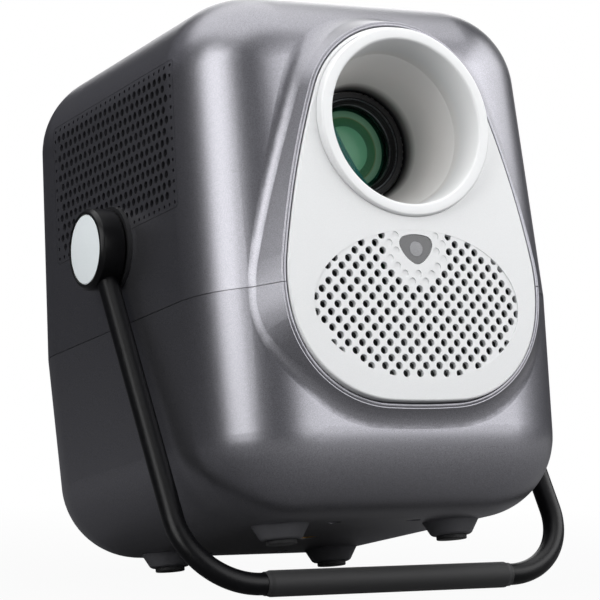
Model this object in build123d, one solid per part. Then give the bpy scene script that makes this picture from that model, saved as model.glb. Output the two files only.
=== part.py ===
"""Projector with a built-in disc player, standing on its bail.

Every piece is drawn upright, with the feet down: +X to the right of someone facing the lens, the lens
looking along -Y, +Z up and z = 0 on the underside.  The last step tips the whole object back on its bail
until the grip and the rear feet stand on one floor, which is the pose that it is used in.
"""
import os
from math import asin, atan2, cos, degrees, hypot, radians, sin, tan

from build123d import *

# ---- body ---------------------------------------------------------------------------------------
HALF_W = 88.5            # half the width, at the seam
FRONT_Y = -107.5         # front wall at the seam
BACK_Y = 109.5           # back wall at the seam
SEAM_Z = 96.0            # height where the two shells meet
TOP_Z = 231.5
CORNER_R = 42.0          # upright corners
TOP_R = 38.0             # roll of the top edge
BOTTOM_R = 36.0          # roll of the bottom edge
WALL = 2.4
SIDE_DRAFT = 1.5         # degrees, both shells narrow away from the seam
FRONT_DRAFT = 3.2        # upper front leans back
LOW_FRONT_DRAFT = 0.4
LOW_BACK_DRAFT = 2.4
SEAM_GAP = 0.35          # shadow line between the shells
SEAM_DEEP = 0.7
SLIP = 0.3               # air between pieces that lift apart
FIT = 0.08               # radial play of a running fit

# ---- front bezel and panel ----------------------------------------------------------------------
LENS_Z = 166.0           # height of the lens axis
CROWN_R = 43.3           # panel outline: top arc round the lens, then the flanks, cheeks and chin
CROWN_ARC = 69.5
FLANK_R = 393.4
FLANK_ARC = 11.15
CHEEK_R = 69.0
CHEEK_ARC = 21.7
JAW_R = 46.3
JAW_ARC = 74.8
LIP_Y = -112.2           # front of the thin lip round the panel
LIP_W = 2.3
LIP_STEP = 0.6           # the lip stands this proud of the bevel
LIP_ROUND = 1.0          # its outer edge
LIP_BREAK = 0.6          # chamfer of its inner edge
BEVEL_DEEP = 22.0
BEVEL_RATE = 0.62        # outward growth per millimetre of depth
BEVEL_DROP = 0.30        # the bevel is wider below than above
BEVEL_ROLL = 10.0        # blend from the bevel into the case
PANEL_THICK = 3.6        # depth of the panel seat behind the lip
LEDGE_W = 4.0
DOME_Y = -116.9          # most forward point of the domed panel
DOME_Z = 86.0
DOME_RX = 470.0          # radius of the dome seen from above
DOME_RZ = 1800.0         # and seen from the side
DOME_SPAN = 16.0         # degrees of those arcs that are drawn
EDGE_ROUND = 0.8
PANEL_SKIN = 2.4

# ---- speaker grille and sensor ------------------------------------------------------------------
GRILLE_RX = 50.5
GRILLE_RZ = 32.3
GRILLE_Z = 86.2
GRILLE_SUNK = 0.35
GRILLE_SKIN = 2.2        # thickness of the drilled plate
GRILLE_LAP = 0.4         # the plate runs this far into the panel round it
GRILLE_PITCH = 6.6       # between holes in a row, half of it between rows
GRILLE_HOLE_R = 1.65
BLIND_REACH = 15.5       # holes this near the sensor are dimples only
DIMPLE_DEEP = 0.5
SENSOR_Z = 110.6
SENSOR_HALF_W = 4.7      # corner centres of the rounded triangle
SENSOR_TOP = 1.8
SENSOR_DROP = 3.6
SENSOR_BOW = 0.7         # its sides swell by this much
SENSOR_ROUND = 3.4

# ---- lens ---------------------------------------------------------------------------------------
COLLAR_R = 41.7
COLLAR_Y = -118.0
MOUTH_R = 36.4
STEP_R = 34.2
STEP_DEEP = 17.0
THROAT_R = 24.8
THROAT_Y = -72.0
COLLAR_WALL = 1.9
BARREL_R = 22.0
BARREL_FRONT = -71.6
BARREL_BACK = -48.5
EYE_R = 17.9             # visible glass
EYE_Y = -67.6
GLASS_BULGE = 3.4
HOLDER_WALL = 2.4
HOLDER_BACK = -45.0
GEAR_MODULE = 1.0
RING_TEETH = 56
PINION_TEETH = 14
GEAR_Y = -66.0
GEAR_W = 8.0
PINION_ANGLE = -45.0

# ---- bail ---------------------------------------------------------------------------------------
HUB_Y = -2.0
HUB_Z = 131.2
HUB_R = 18.3
HUB_OUT = 102.3          # outer face of the hub from the middle plane
HUB_CHAMFER = 1.6
WASHER_R = 19.4
WASHER_OUT = 89.6
CAP_R = 15.6
PIN_R = 4.0
LEG_X = 95.2
TUBE_R = 4.8
BEND_R = 33.0
REACH = 171.6            # hub axis to grip axis
BAIL_LEAN = 23.6         # degrees forward of straight down
GRIP_HALF = 59.8
GRIP_R = 5.7
GRIP_TAPER = 1.6

# ---- feet and underside -------------------------------------------------------------------------
FOOT_X = 43.0
FOOT_Y = 55.3
FOOT_TOP_R = 12.6
FOOT_LOW_R = 8.9
FOOT_H = 6.4
PAD_R = 6.8
PAD_PROUD = 1.9
PAD_CHAMFER = 0.3
INSERT_R = 5.0
THREAD_R = 3.175         # quarter-inch tripod thread
INSERT_LEN = 11.0
SCREW_X = 20.0
SCREW_Y = 62.0

# ---- vents --------------------------------------------------------------------------------------
VENT_MID_Y = -3.3
VENT_MID_Z = 169.8
VENT_ROWS = 12
VENT_COLS = 23
REAR_COLS = 15
VENT_PITCH = 5.2
VENT_ROW_PITCH = 4.75
VENT_HOLE_R = 1.75
PIN_HOLE_R = 0.85
PIN_EDGE = 4.3           # big holes to the border of small ones
VENT_MARGIN = 2.2
VENT_GAP = 0.2

# ---- disc drive ---------------------------------------------------------------------------------
DISC_R = 60.0
DRIVE_Z = 38.0
DRIVE_H = 15.0
DRIVE_HALF_W = 65.5
DRIVE_BACK = 98.0
DRIVE_LEN = 129.0
SHEET = 1.0              # drive case sheet
TRAY_HALF_W = 64.0
TRAY_LEN = 126.5
TRAY_T = 7.0
BEZEL_HALF_W = 64.0
BEZEL_Z0 = 38.6
BEZEL_Z1 = 52.4
EJECT_X = 48.0
SLED_TURN = 45.0         # the pickup runs to a corner of the tray
SLED_BAY = 20.0
SLED_START = 6.0
SLED_END = 64.0
INNER_TRACK = 24.5       # pickup lens to spindle, at the start of a disc
ROD_X = 17.2
ROD_R = 1.2
ROD_Z = 2.6              # above the underside of the tray

# ---- inside -------------------------------------------------------------------------------------
CHASSIS_Z = 55.0
CHASSIS_T = 1.5
BOARD_Z = 62.0
BOARD_T = 1.6
BOX_HALF_W = 50.0        # optical housing
BOX_HALF_H = 40.0
BOX_BACK = 62.0
BOX_WALL = 2.0
LED_BOARD_T = 1.6
SINK_BASE = 4.5
SINK_FINS = 18.0
FAN_HALF = 36.0
FAN_T = 15.0
FAN_R = 32.0
SPEAKER_R = 23.0
SPEAKER_X = 27.0
PORT_Z0 = 59.0           # socket plate in the back wall
PORT_Z1 = 90.0
PORT_HALF_W = 41.0
BUTTON_X = 4.0
BUTTON_Z = 80.0
BUTTON_R = 5.5


# ---- small helpers ------------------------------------------------------------------------------
def block(x0, x1, y0, y1, z0, z1):
    middle = Pos((x0 + x1) / 2, (y0 + y1) / 2, (z0 + z1) / 2)
    return middle * Box(x1 - x0, y1 - y0, z1 - z0)


def rod_x(r, x0, x1, y, z):
    return Pos((x0 + x1) / 2, y, z) * Rot(0, 90, 0) * Cylinder(r, abs(x1 - x0))


def rod_y(r, x, y0, y1, z):
    return Pos(x, (y0 + y1) / 2, z) * Rot(90, 0, 0) * Cylinder(r, abs(y1 - y0))


def rod_z(r, x, y, z0, z1):
    return Pos(x, y, (z0 + z1) / 2) * Cylinder(r, abs(z1 - z0))


def facing_front(y):
    """Drawing plane across the lens axis: x to the right, y up, normal to the front."""
    return Plane(origin=(0, y, 0), x_dir=(1, 0, 0), z_dir=(0, -1, 0))


def turned(points, axis_z, axis_x=0.0):
    """Solid of revolution round a line along Y, from (radius, y) corners."""
    plane = Plane(origin=(axis_x, 0, axis_z), x_dir=(1, 0, 0), z_dir=(0, 0, 1))
    face = plane * make_face(Polyline(*points, close=True))
    axis = Axis((axis_x, 0, axis_z), (0, 1, 0))
    return revolve(face, axis, 360)


def both_sides(shape):
    return shape + mirror(shape, about=Plane.YZ)


# ---- body blocks --------------------------------------------------------------------------------
def half_width(z):
    return HALF_W - abs(z - SEAM_Z) * tan(radians(SIDE_DRAFT))


def front_at(z):
    if z >= SEAM_Z:
        return FRONT_Y + (z - SEAM_Z) * tan(radians(FRONT_DRAFT))
    return FRONT_Y + (SEAM_Z - z) * tan(radians(LOW_FRONT_DRAFT))


def back_at(z):
    if z >= SEAM_Z:
        return BACK_Y - (z - SEAM_Z) * tan(radians(SIDE_DRAFT))
    return BACK_Y - (SEAM_Z - z) * tan(radians(LOW_BACK_DRAFT))


def body_section(z, inset):
    wide = 2 * (half_width(z) - inset)
    deep = back_at(z) - front_at(z) - 2 * inset
    middle = (back_at(z) + front_at(z)) / 2
    return Pos(0, middle, z) * RectangleRounded(wide, deep, CORNER_R - inset)


def drafted_block(end_z, inset):
    """Flat walls from the seam to end_z, with their upright corners rounded."""
    side = [(front_at(z) + inset, z) for z in (SEAM_Z, end_z)]
    side += [(back_at(z) - inset, z) for z in (end_z, SEAM_Z)]
    face = [(half_width(z) - inset, z) for z in (SEAM_Z, end_z)]
    face += [(inset - half_width(z), z) for z in (end_z, SEAM_Z)]
    along_x = extrude(Plane.YZ * make_face(Polyline(*side, close=True)), 2 * HALF_W, both=True)
    along_y = extrude(Plane.XZ * make_face(Polyline(*face, close=True)), 2 * BACK_Y, both=True)
    solid = along_x & along_y
    upright = solid.edges().filter_by(lambda edge: abs((edge % 0.5).Z) > 0.9)
    return fillet(upright, CORNER_R - inset)


def upper_block(inset):
    solid = drafted_block(TOP_Z - inset, inset)
    return fillet(solid.edges().group_by(Axis.Z)[-1], TOP_R - inset)


def lower_block(inset):
    solid = drafted_block(inset, inset)
    return fillet(solid.edges().group_by(Axis.Z)[0], BOTTOM_R - inset)


# ---- teardrop outline ---------------------------------------------------------------------------
def teardrop(y, grow=0.0, drop=0.0):
    """Panel outline as a chain of arcs that run into each other, grown outward by grow."""
    arcs = [(CROWN_R, CROWN_ARC), (FLANK_R, FLANK_ARC), (CHEEK_R, CHEEK_ARC), (JAW_R, JAW_ARC)]
    turn = 0.0
    reach = 0.0
    for radius, angle in arcs:
        reach += radius * (sin(radians(turn + angle)) - sin(radians(turn)))
        turn += angle
    chin = (reach / sin(radians(turn)), 180 - turn)
    loop = arcs + [(chin[0], 2 * chin[1])] + arcs[::-1]
    start = Vector(0, LENS_Z + CROWN_R + grow - drop)
    along = Vector(1, 0)
    edges = []
    for radius, angle in loop:
        arc = JernArc(start, along, radius + grow, -angle)
        edges.append(arc)
        start = arc @ 1
        along = arc % 1
    return facing_front(y) * make_face(Curve() + edges)


def teardrop_prism(y0, y1, grow):
    return extrude(teardrop(y1, grow), y1 - y0)


def bezel_pad(inset):
    """Raised bevel round the panel, wider below the panel than above it."""
    front = LIP_Y + LIP_STEP + inset
    back = LIP_Y + LIP_STEP + BEVEL_DEEP
    small = teardrop(front, LIP_W + 0.3 - inset)
    large = teardrop(back, LIP_W + 0.3 - inset + BEVEL_DEEP * BEVEL_RATE, BEVEL_DEEP * BEVEL_DROP)
    bevel = loft([small, large], ruled=True)
    lip = teardrop_prism(LIP_Y + inset, LIP_Y + 4, LIP_W - inset)
    lip = fillet(lip.edges().group_by(Axis.Y)[0], LIP_ROUND)
    return bevel + lip


def with_bezel(outer, z0, z1):
    """Case half between two heights, its bevel blended in."""
    pad = bezel_pad(0) & block(-120, 120, -130, 0, z0, z1)
    full = outer + pad
    off_seam = full.edges().filter_by(lambda edge: abs((edge @ 0.5).Z - SEAM_Z) > 0.01)
    on_case = off_seam.filter_by(lambda edge: outer.distance_to(edge @ 0.5) < 0.01)
    crease = on_case.filter_by(lambda edge: pad.distance_to(edge @ 0.5) < 0.01)
    return fillet(crease, BEVEL_ROLL)


def dome(behind):
    """Everything behind the domed front of the panel, moved back by behind."""
    crest = DOME_Y + behind
    ring = Pos(0, crest + DOME_RX, DOME_Z) * Circle(DOME_RX)
    cap = ring & (Pos(0, crest + 30, DOME_Z) * Rectangle(200, 60))
    axis = Axis((0, crest + DOME_RZ, DOME_Z), (1, 0, 0))
    return revolve(cap.rotate(axis, -DOME_SPAN / 2), axis, DOME_SPAN)


# ---- hole patterns ------------------------------------------------------------------------------
def staggered(columns, rows, pitch, row_pitch):
    places = []
    for row in range(rows):
        count = columns - row % 2
        height = (row - (rows - 1) / 2) * row_pitch
        for column in range(count):
            places.append(((column - (count - 1) / 2) * pitch, height))
    return places


def border(half_w, half_h, pitch, row_pitch):
    places = []
    across = round(2 * half_w / pitch)
    upward = round(2 * half_h / row_pitch)
    for i in range(across + 1):
        x = -half_w + 2 * half_w * i / across
        places.append((x, -half_h))
        places.append((x, half_h))
    for i in range(1, upward):
        y = -half_h + 2 * half_h * i / upward
        places.append((-half_w, y))
        places.append((half_w, y))
    return places


def vent_size(columns):
    half_w = (columns - 1) * VENT_PITCH / 2 + PIN_EDGE
    half_h = (VENT_ROWS - 1) * VENT_ROW_PITCH / 2 + PIN_EDGE
    return half_w, half_h


def vent_holes(columns):
    half_w, half_h = vent_size(columns)
    big = Sketch() + [Pos(x, y) * Circle(VENT_HOLE_R)
                      for x, y in staggered(columns, VENT_ROWS, VENT_PITCH, VENT_ROW_PITCH)]
    small = Sketch() + [Pos(x, y) * Circle(PIN_HOLE_R)
                        for x, y in border(half_w, half_h, VENT_PITCH, VENT_ROW_PITCH)]
    return big + small


# ---- shells -------------------------------------------------------------------------------------
def vent_window(columns, plane, depth, gap):
    half_w, half_h = vent_size(columns)
    wide = 2 * (half_w + VENT_MARGIN + gap)
    high = 2 * (half_h + VENT_MARGIN + gap)
    return extrude(plane * RectangleRounded(wide, high, 2.0 + gap), depth)


def side_vent_plane():
    return Plane(origin=(HALF_W + 5, VENT_MID_Y, VENT_MID_Z), x_dir=(0, 1, 0), z_dir=(-1, 0, 0))


def rear_vent_plane():
    return Plane(origin=(0, BACK_Y + 5, LENS_Z), x_dir=(1, 0, 0), z_dir=(0, -1, 0))


def seam_groove(outer):
    slab = block(-120, 120, -130, 130, SEAM_Z - SEAM_GAP, SEAM_Z)
    core = extrude(body_section(SEAM_Z - 2, SEAM_DEEP), 4) + bezel_pad(SEAM_DEEP)
    return slab - core


def pocket():
    seat = teardrop_prism(LIP_Y - 20, LIP_Y + PANEL_THICK, 0.25)
    through = teardrop_prism(LIP_Y - 20, FRONT_Y + 40, -LEDGE_W)
    mouth = loft([teardrop(LIP_Y, 0.25 + LIP_BREAK), teardrop(LIP_Y + LIP_BREAK, 0.25)], ruled=True)
    return seat + through + mouth


def pivot_boss():
    wall = half_width(HUB_Z) - WALL
    boss = rod_x(9, wall - 5, wall + 1, HUB_Y, HUB_Z)
    return both_sides(boss)


def pivot_bore():
    return both_sides(rod_x(PIN_R + FIT, 60, HALF_W + 10, HUB_Y, HUB_Z))


def upper_shell():
    shell = with_bezel(upper_block(0), SEAM_Z, TOP_Z) - upper_block(WALL)
    shell += pivot_boss()
    shell -= pocket()
    shell -= pivot_bore()
    window = vent_window(VENT_COLS, side_vent_plane(), 20, VENT_GAP)
    shell -= both_sides(window)
    shell -= vent_window(REAR_COLS, rear_vent_plane(), 20, VENT_GAP)
    return shell


def chassis_posts():
    posts = [(x, y) for x in (-72, 72) for y in (-45, 45)]
    return [rod_z(4, x, y, 4, CHASSIS_Z) for x, y in posts]


def drive_posts():
    posts = [(x, y) for x in (-50, 50) for y in (-15, 62)]
    return [rod_z(4, x, y, 1, DRIVE_Z) for x, y in posts]


def screw_places():
    return [(x, y) for x in (-SCREW_X, SCREW_X) for y in (-SCREW_Y, SCREW_Y)]


def lower_shell():
    full = with_bezel(lower_block(0), 0, SEAM_Z)
    shell = full - lower_block(WALL)
    bosses = chassis_posts() + drive_posts()
    bosses.append(rod_z(INSERT_R + 4, 0, 0, 1, INSERT_LEN + 3))
    bosses += [rod_z(5.5, x, y, 1, 16) for x, y in screw_places()]
    for boss in bosses:
        shell += boss & full
    shell -= pocket()
    shell -= seam_groove(full)
    shell -= rod_z(INSERT_R + FIT / 2, 0, 0, -1, INSERT_LEN)
    for x, y in screw_places():
        shell -= rod_z(3.3, x, y, -1, 3)
        shell -= rod_z(1.5, x, y, 2, 14)
    shell -= block(-BEZEL_HALF_W - SLIP, BEZEL_HALF_W + SLIP, 80, 130, BEZEL_Z0 - SLIP, BEZEL_Z1 + SLIP)
    shell -= block(-PORT_HALF_W, PORT_HALF_W, 90, 130, PORT_Z0, PORT_Z1)
    return shell


# ---- front panel, grille and sensor -------------------------------------------------------------
def grille_oval(shrink):
    return Pos(0, GRILLE_Z) * Ellipse(GRILLE_RX - shrink, GRILLE_RZ - shrink)


def sensor_shape(grow):
    left, right, low = (-SENSOR_HALF_W, SENSOR_TOP), (SENSOR_HALF_W, SENSOR_TOP), (0, -SENSOR_DROP)
    sides = [SagittaArc(start, end, SENSOR_BOW) for start, end in ((left, right), (right, low), (low, left))]
    return Pos(0, SENSOR_Z) * offset(make_face(Curve() + sides), SENSOR_ROUND + grow)


def grille_places():
    rows = int(GRILLE_RZ / (GRILLE_PITCH / 2)) + 1
    columns = int(GRILLE_RX / GRILLE_PITCH) + 2
    places = []
    for row in range(-rows, rows + 1):
        shift = GRILLE_PITCH / 2 if row % 2 else 0
        for column in range(-columns, columns + 1):
            x = column * GRILLE_PITCH + shift
            rise = row * GRILLE_PITCH / 2
            if hypot(x / GRILLE_RX, rise / GRILLE_RZ) < 1:
                places.append((x, GRILLE_Z + rise))
    return places


def near_sensor(place):
    return hypot(place[0], place[1] - SENSOR_Z)


def bowed_sheet(front, back):
    """Upright sheet bowed like the panel, between two depths behind its crest."""
    def at(radius, angle):
        turn = radians(angle)
        return (radius * sin(turn), DOME_Y + DOME_RX - radius * cos(turn))
    near = DOME_RX - front
    far = DOME_RX - back
    side = DOME_SPAN / 2
    outline = Curve() + [
        ThreePointArc(at(near, -side), at(near, 0), at(near, side)),
        Line(at(near, side), at(far, side)),
        ThreePointArc(at(far, side), at(far, 0), at(far, -side)),
        Line(at(far, -side), at(near, -side)),
    ]
    low = Pos(0, 0, GRILLE_Z - GRILLE_RZ - 5)
    return low * extrude(make_face(outline), 2 * GRILLE_RZ + 10, dir=(0, 0, 1))


def circles(places):
    return Sketch() + [Pos(x, z) * Circle(GRILLE_HOLE_R) for x, z in places]


def grille_plate():
    plate = bowed_sheet(GRILLE_SUNK, GRILLE_SUNK + GRILLE_SKIN)
    behind = facing_front(DOME_Y + 10)
    plate &= extrude(behind * grille_oval(-GRILLE_LAP), 14)
    open_holes = [place for place in grille_places() if near_sensor(place) > BLIND_REACH]
    dimples = [place for place in grille_places() if 9.5 < near_sensor(place) <= BLIND_REACH]
    plate -= extrude(behind * circles(open_holes), 14)
    plate -= extrude(behind * sensor_shape(0.15), 14)
    floor = facing_front(DOME_Y + GRILLE_SUNK + DIMPLE_DEEP)
    return plate - extrude(floor * circles(dimples), 14)


def front_panel():
    solid = teardrop_prism(DOME_Y - 3, LIP_Y + PANEL_THICK, 0) & dome(0)
    rim = solid.edges().filter_by(lambda edge: (edge @ 0.5).Y < LIP_Y - 0.2)
    solid = fillet(rim, EDGE_ROUND)
    solid -= teardrop_prism(DOME_Y - 3, LIP_Y + PANEL_THICK + 1, -LEDGE_W - 1) & dome(PANEL_SKIN)
    solid -= rod_y(COLLAR_R + 0.15, 0, DOME_Y - 5, LIP_Y + 10, LENS_Z)
    solid -= extrude(facing_front(LIP_Y + 8) * grille_oval(0), 20)
    return solid + grille_plate()


def sensor_window():
    slab = extrude(facing_front(LIP_Y + 8) * sensor_shape(0), 20)
    glass = (slab & dome(0.5)) - dome(2.3)
    return glass


def sensor_module():
    board = block(-13, 13, DOME_Y + 6.0, DOME_Y + 7.4, SENSOR_Z - 9, SENSOR_Z + 7)
    ears = [rod_y(1.2, x, DOME_Y + 2.9, DOME_Y + 6.0, SENSOR_Z + 2) for x in (-11.4, 11.4)]
    mount = rod_y(4.6, 0, DOME_Y + 3.1, DOME_Y + 6.0, SENSOR_Z - 0.6)
    return board + mount + ears


def sensor_lens():
    return rod_y(3.0, 0, DOME_Y + 2.8, DOME_Y + 3.1, SENSOR_Z - 0.6)


# ---- lens collar --------------------------------------------------------------------------------
def lens_collar():
    seat = LIP_Y + PANEL_THICK
    bend = COLLAR_Y + STEP_DEEP
    points = [
        (MOUTH_R + 0.7, COLLAR_Y),
        (COLLAR_R - 0.8, COLLAR_Y),
        (COLLAR_R - 0.24, COLLAR_Y + 0.24),
        (COLLAR_R, COLLAR_Y + 0.8),
        (COLLAR_R, seat),
        (MOUTH_R + COLLAR_WALL, seat),
        (STEP_R + COLLAR_WALL, bend),
        (THROAT_R + COLLAR_WALL, THROAT_Y),
        (THROAT_R, THROAT_Y),
        (STEP_R - 0.5, bend + 0.6),
        (STEP_R, bend),
        (MOUTH_R, COLLAR_Y + 0.7),
    ]
    return turned(points, LENS_Z)


# ---- lens ---------------------------------------------------------------------------------------
def lens_holder():
    bore = BARREL_R + FIT
    outer = bore + HOLDER_WALL
    points = [
        (bore, THROAT_Y - 0.6),
        (outer, THROAT_Y - 0.6),
        (outer, GEAR_Y + GEAR_W + SLIP),
        (outer + 2.2, GEAR_Y + GEAR_W + SLIP),
        (outer + 2.2, HOLDER_BACK),
        (bore, HOLDER_BACK),
    ]
    return turned(points, LENS_Z)


def lens_barrel():
    points = [
        (EYE_R + 2.6, BARREL_FRONT - 0.6),
        (EYE_R + 3.4, BARREL_FRONT),
        (BARREL_R - 0.6, BARREL_FRONT + 0.6),
        (BARREL_R, BARREL_FRONT + 1.2),
        (BARREL_R, BARREL_BACK),
        (EYE_R - 2, BARREL_BACK),
        (EYE_R - 2, EYE_Y + 6),
        (EYE_R + 0.4, EYE_Y + 5.4),
        (EYE_R + 0.4, EYE_Y),
        (EYE_R + 1.2, EYE_Y),
        (EYE_R + 1.8, EYE_Y - 1.6),
    ]
    return turned(points, LENS_Z)


def bulged(radius, y, bulge, thick):
    """Lens element whose front bulges forward by bulge and whose back is flat."""
    big = (radius ** 2 + bulge ** 2) / (2 * bulge)
    ball = Pos(0, y - bulge + big, LENS_Z) * Sphere(big)
    return ball & rod_y(radius, 0, y - bulge - 1, y + thick, LENS_Z)


def front_glass():
    return bulged(EYE_R + 0.35, EYE_Y + 0.6, GLASS_BULGE, 4.6)


def rear_glass():
    return rod_y(EYE_R - 2.05, 0, BARREL_BACK - 9, BARREL_BACK - 5, LENS_Z)


def retaining_rings():
    outer = turned([
        (EYE_R + 2.62, BARREL_FRONT - 0.6),
        (EYE_R + 2.62, BARREL_FRONT - 0.9),
        (EYE_R + 3.0, BARREL_FRONT - 0.9),
        (EYE_R + 3.4, BARREL_FRONT),
    ], LENS_Z)
    inner = turned([
        (EYE_R - 0.1, EYE_Y),
        (EYE_R - 0.1, EYE_Y - 0.5),
        (EYE_R + 0.8, EYE_Y - 0.5),
        (EYE_R + 0.8, EYE_Y),
    ], LENS_Z)
    return outer, inner


def gear(teeth, width, bore, y, x, z, phase):
    """Spur gear with straight-flanked teeth, drawn across Y."""
    pitch_r = GEAR_MODULE * teeth / 2
    root = pitch_r - 1.15 * GEAR_MODULE
    tip = pitch_r + 0.9 * GEAR_MODULE
    step = 360 / teeth
    points = []
    for tooth in range(teeth):
        middle = tooth * step + phase
        for radius, side in ((root, -0.34), (tip, -0.13), (tip, 0.13), (root, 0.34)):
            angle = radians(middle + side * step)
            points.append((radius * cos(angle), radius * sin(angle)))
    face = make_face(Polyline(*points, close=True)) - Circle(bore)
    plane = Plane(origin=(x, y + width, z), x_dir=(1, 0, 0), z_dir=(0, -1, 0))
    return extrude(plane * face, width)


def gear_distance():
    return GEAR_MODULE * (RING_TEETH + PINION_TEETH) / 2 + 0.15


def pinion_place():
    reach = gear_distance()
    angle = radians(PINION_ANGLE)
    return reach * cos(angle), LENS_Z + reach * sin(angle)


def focus_ring():
    bore = BARREL_R + FIT + HOLDER_WALL + FIT
    return gear(RING_TEETH, GEAR_W, bore, GEAR_Y, 0, LENS_Z, PINION_ANGLE)


def focus_pinion():
    x, z = pinion_place()
    half_tooth = 180 / PINION_TEETH
    return gear(PINION_TEETH, GEAR_W, 1.5 + FIT, GEAR_Y, x, z, PINION_ANGLE + 180 + half_tooth)


def focus_motor():
    x, z = pinion_place()
    can = rod_y(6, x, GEAR_Y + GEAR_W + SLIP, HOLDER_BACK, z)
    shaft = rod_y(1.5, x, GEAR_Y - 1.5, GEAR_Y + GEAR_W + 2, z)
    plate = block(x - 4, x + 13, -48, HOLDER_BACK, z - 6, z + 6)
    return can + shaft + plate


# ---- vents --------------------------------------------------------------------------------------
def side_vent():
    window = vent_window(VENT_COLS, side_vent_plane(), 20, 0)
    plate = (upper_block(0) & window) - upper_block(WALL - 0.4)
    holes = extrude(side_vent_plane() * vent_holes(VENT_COLS), 20)
    return plate - holes


def rear_vent():
    window = vent_window(REAR_COLS, rear_vent_plane(), 20, 0)
    plate = (upper_block(0) & window) - upper_block(WALL - 0.4)
    holes = extrude(rear_vent_plane() * vent_holes(REAR_COLS), 20)
    return plate - holes


# ---- bail ---------------------------------------------------------------------------------------
def hub_washers():
    ring = rod_x(WASHER_R, half_width(HUB_Z) - 3, WASHER_OUT, HUB_Y, HUB_Z)
    ring -= rod_x(PIN_R + FIT, 70, HALF_W + 10, HUB_Y, HUB_Z)
    return both_sides(ring - upper_block(0))


def pivot_pins():
    wall = half_width(HUB_Z) - WALL
    nut = rod_x(7, wall - 8, wall - 5, HUB_Y, HUB_Z)
    shank = rod_x(PIN_R, wall - 5, HUB_OUT - 4.8, HUB_Y, HUB_Z)
    head = rod_x(7, HUB_OUT - 4.8, HUB_OUT - 2.6, HUB_Y, HUB_Z)
    return both_sides(nut + shank + head)


def lean(shape):
    """From hanging straight down off the hub axis to the stand position."""
    return Pos(0, HUB_Y, HUB_Z) * Rot(-BAIL_LEAN, 0, 0) * shape


def bail_tube():
    top = -HUB_R + 7.5
    bottom = -REACH
    path = Polyline((LEG_X, 0, top), (LEG_X, 0, bottom), (-LEG_X, 0, bottom), (-LEG_X, 0, top))
    corners = path.vertices().sort_by(Axis.Z)[0:2]
    wire = fillet(corners, BEND_R)
    start = Plane(origin=(LEG_X, 0, top), x_dir=(1, 0, 0), z_dir=(0, 0, -1))
    return lean(sweep(start * Circle(TUBE_R), path=wire))


def grip_sleeve():
    neck = GRIP_HALF - GRIP_TAPER
    half = [
        (0, TUBE_R),
        (0, GRIP_R),
        (neck, GRIP_R),
        (GRIP_HALF, TUBE_R + 0.35),
        (GRIP_HALF + 1.4, TUBE_R + 0.35),
        (GRIP_HALF + 1.4, TUBE_R),
    ]
    face = make_face(Polyline(*half, close=True))
    plane = Plane(origin=(0, 0, -REACH), x_dir=(1, 0, 0), z_dir=(0, -1, 0))
    right = revolve(plane * face, Axis((0, 0, -REACH), (1, 0, 0)), 360)
    return lean(both_sides(right))


def hub_cups():
    inner = WASHER_OUT + SLIP
    face = Plane(origin=(0, HUB_Y, HUB_Z), x_dir=(1, 0, 0), z_dir=(0, -1, 0))
    profile = [
        (inner, 0),
        (inner, HUB_R - 0.8),
        (inner + 0.8, HUB_R),
        (HUB_OUT - HUB_CHAMFER, HUB_R),
        (HUB_OUT, HUB_R - HUB_CHAMFER),
        (HUB_OUT, CAP_R + 0.15),
        (HUB_OUT - 1.6, CAP_R + 0.15),
        (HUB_OUT - 1.6, 0),
    ]
    axis = Axis((0, HUB_Y, HUB_Z), (1, 0, 0))
    cup = revolve(face * make_face(Polyline(*profile, close=True)), axis, 360)
    cup -= rod_x(PIN_R + FIT, 60, HUB_OUT - 5, HUB_Y, HUB_Z)
    cup -= rod_x(7.3, HUB_OUT - 5.1, HUB_OUT, HUB_Y, HUB_Z)
    return both_sides(cup) - bail_tube()


def hub_caps():
    cap = rod_x(CAP_R, HUB_OUT - 1.6, HUB_OUT - 0.4, HUB_Y, HUB_Z)
    rim = cap.edges().filter_by(GeomType.CIRCLE).sort_by(Axis.X)[-1]
    return both_sides(fillet(rim, 0.5))


# ---- feet ---------------------------------------------------------------------------------------
def foot_places():
    return [(x, y) for x in (-FOOT_X, FOOT_X) for y in (-FOOT_Y, FOOT_Y)]


def foot_cups():
    slope = (FOOT_TOP_R - FOOT_LOW_R) / FOOT_H
    rise = 2.0
    cone = Pos(0, 0, (rise - FOOT_H) / 2) * Cone(FOOT_LOW_R, FOOT_TOP_R + slope * rise, FOOT_H + rise)
    cone = chamfer(cone.edges().group_by(Axis.Z)[0], 0.7)
    cone -= rod_z(PAD_R + 0.1, 0, 0, -FOOT_H - 1, -FOOT_H + 1.2)
    cups = Part() + [Pos(x, y, 0) * cone for x, y in foot_places()]
    return cups - lower_block(0)


def foot_pads():
    pad = rod_z(PAD_R, 0, 0, -FOOT_H - PAD_PROUD, -FOOT_H + 1.2)
    pad = chamfer(pad.edges().group_by(Axis.Z)[0], PAD_CHAMFER)
    return Part() + [Pos(x, y, 0) * pad for x, y in foot_places()]


def tripod_insert():
    return rod_z(INSERT_R, 0, 0, 0.2, INSERT_LEN) - rod_z(THREAD_R, 0, 0, -1, INSERT_LEN - 1.5)


def case_screws():
    head = rod_z(2.9, 0, 0, 1.0, 3.0)
    head -= Pos(0, 0, 1.2) * extrude(RegularPolygon(1.5, 6), -2)
    head -= Pos(0, 0, 0.9) * extrude(RegularPolygon(1.5, 6), 1.2)
    screw = head + rod_z(1.46, 0, 0, 3.0, 13)
    return Part() + [Pos(x, y, 0) * screw for x, y in screw_places()]


# ---- disc drive ---------------------------------------------------------------------------------
def drive_front():
    return DRIVE_BACK - DRIVE_LEN


def spindle_y():
    return DRIVE_BACK - 5 - DISC_R


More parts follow.
